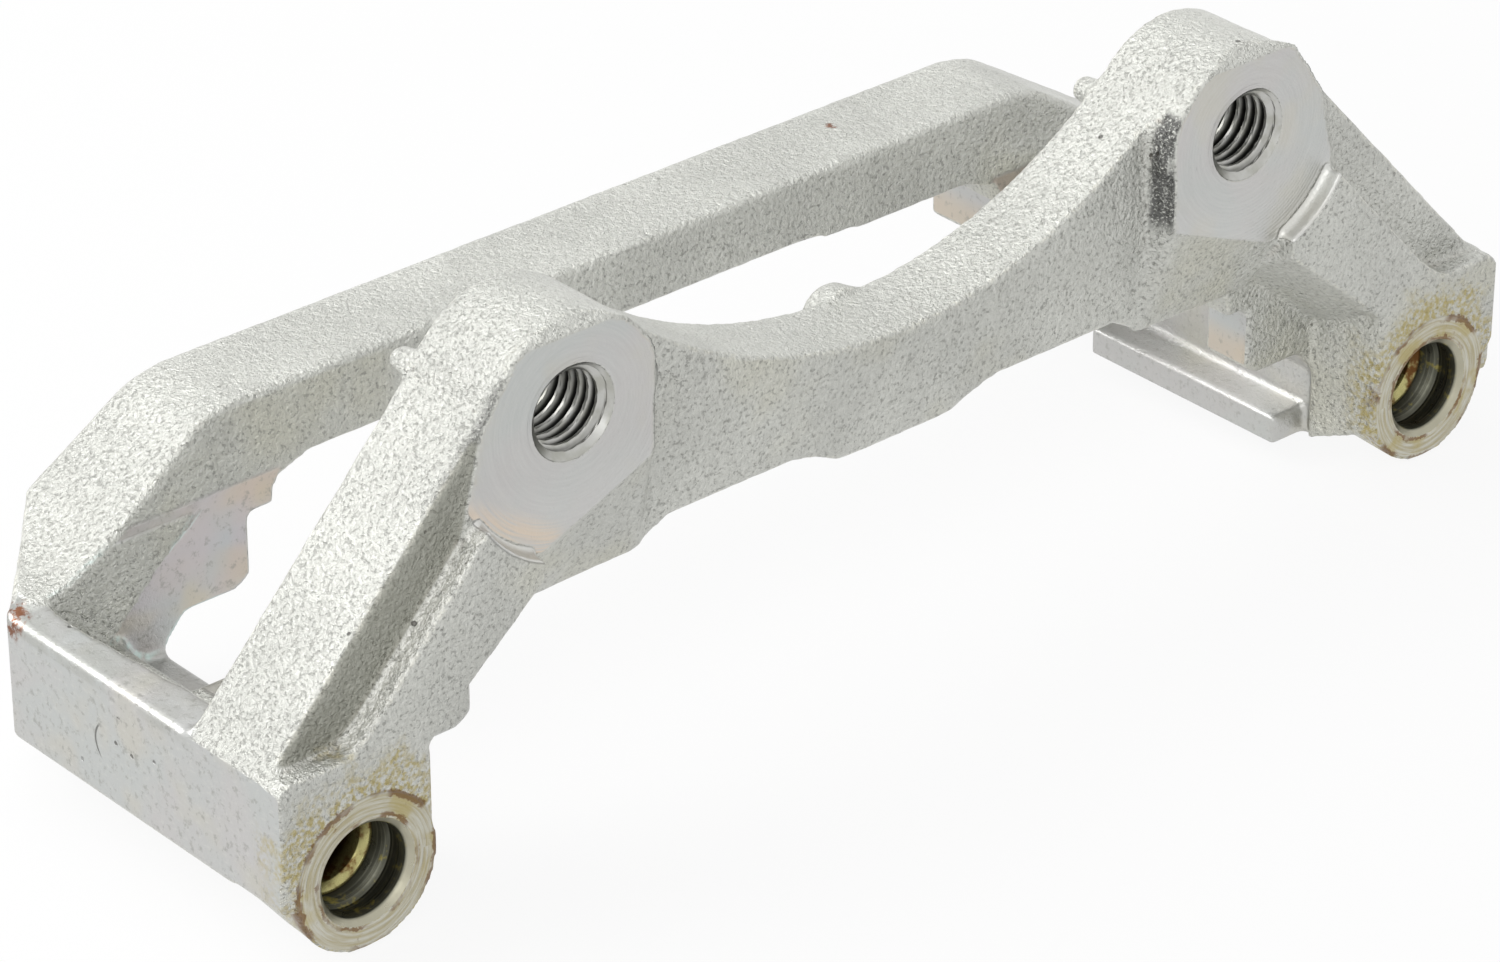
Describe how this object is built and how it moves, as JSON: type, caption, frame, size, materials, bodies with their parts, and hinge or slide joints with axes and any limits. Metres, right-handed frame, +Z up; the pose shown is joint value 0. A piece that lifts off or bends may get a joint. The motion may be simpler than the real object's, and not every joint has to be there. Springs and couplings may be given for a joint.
{
  "type": "brake caliper bracket",
  "caption": "Cast iron carrier for a floating disc brake caliper: threaded mounting ears, guide pin bosses, side bridges over the disc and a far beam with pad windows.",
  "frame": {"origin": "centre of the bounding box's base", "axes": "+X along the bracket's length, +Y from the mounting side to the far beam, +Z up from the guide pin bosses to the mounting ears"},
  "size_m": [0.248, 0.087, 0.0851],
  "materials": {
    "zinc_plated_iron": "zinc plated, rough cast with machined faces"
  },
  "bodies": {
    "root": {"caliper_bracket": "zinc_plated_iron"}
  },
  "joints": []
}
